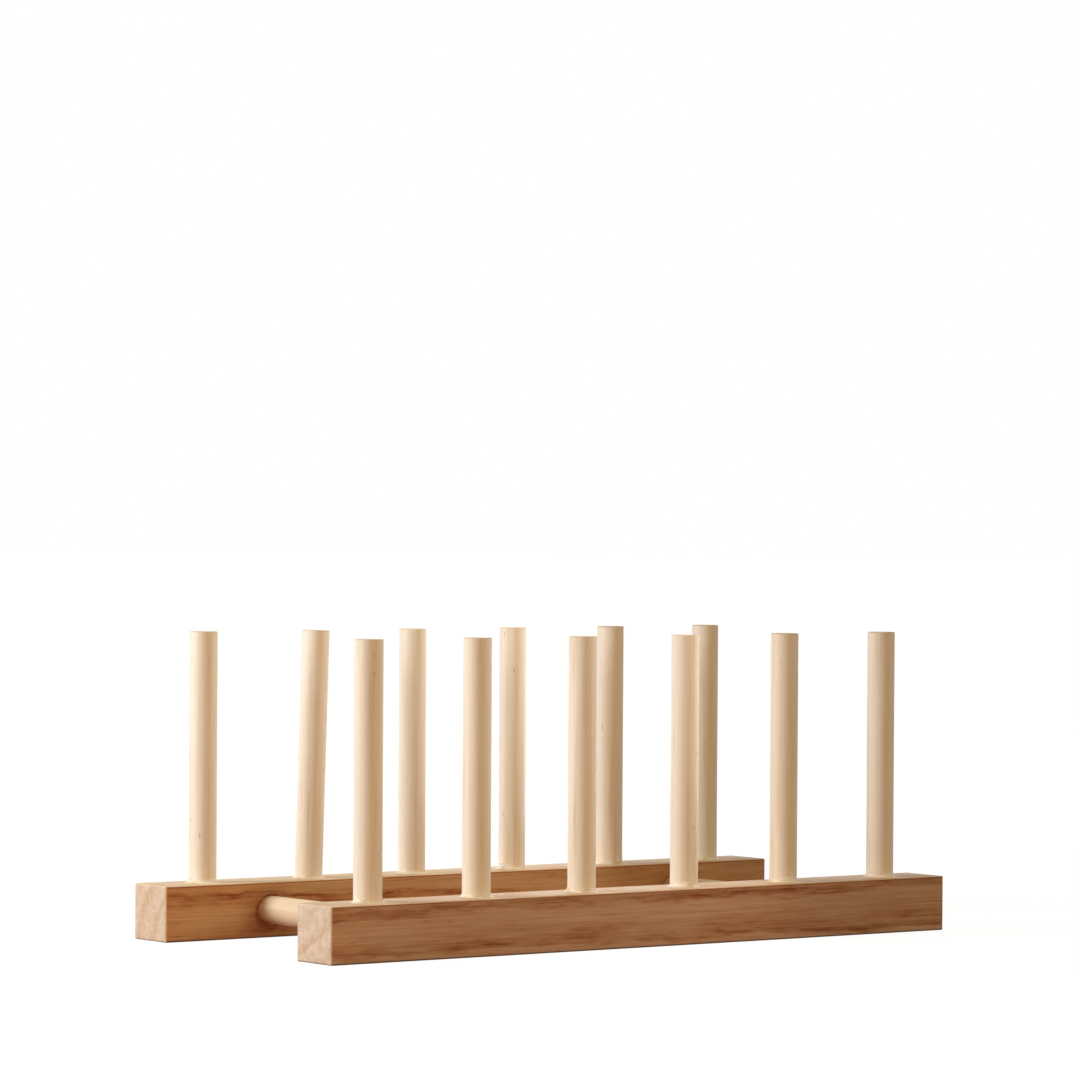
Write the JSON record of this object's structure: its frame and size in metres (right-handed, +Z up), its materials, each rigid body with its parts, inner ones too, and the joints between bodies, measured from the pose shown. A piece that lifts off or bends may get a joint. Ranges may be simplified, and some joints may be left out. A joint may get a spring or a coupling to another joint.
{
  "type": "dish rack",
  "caption": "Low wooden dish rack: parallel square rails joined by cross dowels, with facing rows of round uprights that hold plates on edge.",
  "frame": {"origin": "on the ground under the middle of the rack, midway between the rails and between their ends", "axes": "+X along the rails to the right, +Y from the front rail to the rear rail, +Z up along the uprights"},
  "size_m": [0.272, 0.126, 0.1101],
  "materials": {
    "rail_wood": "bare planed reddish-brown hardwood",
    "dowel_wood": "bare sanded pale dowel stock"
  },
  "bodies": {
    "root": {"front_rail": "rail_wood", "rear_rail": "rail_wood", "front_upright_1": "dowel_wood", "front_upright_2": "dowel_wood", "front_upright_3": "dowel_wood", "front_upright_4": "dowel_wood", "front_upright_5": "dowel_wood", "front_upright_6": "dowel_wood", "rear_upright_1": "dowel_wood", "rear_upright_2": "dowel_wood", "rear_upright_3": "dowel_wood", "rear_upright_4": "dowel_wood", "rear_upright_5": "dowel_wood", "rear_upright_6": "dowel_wood", "left_cross_dowel": "dowel_wood", "right_cross_dowel": "dowel_wood"}
  },
  "joints": []
}
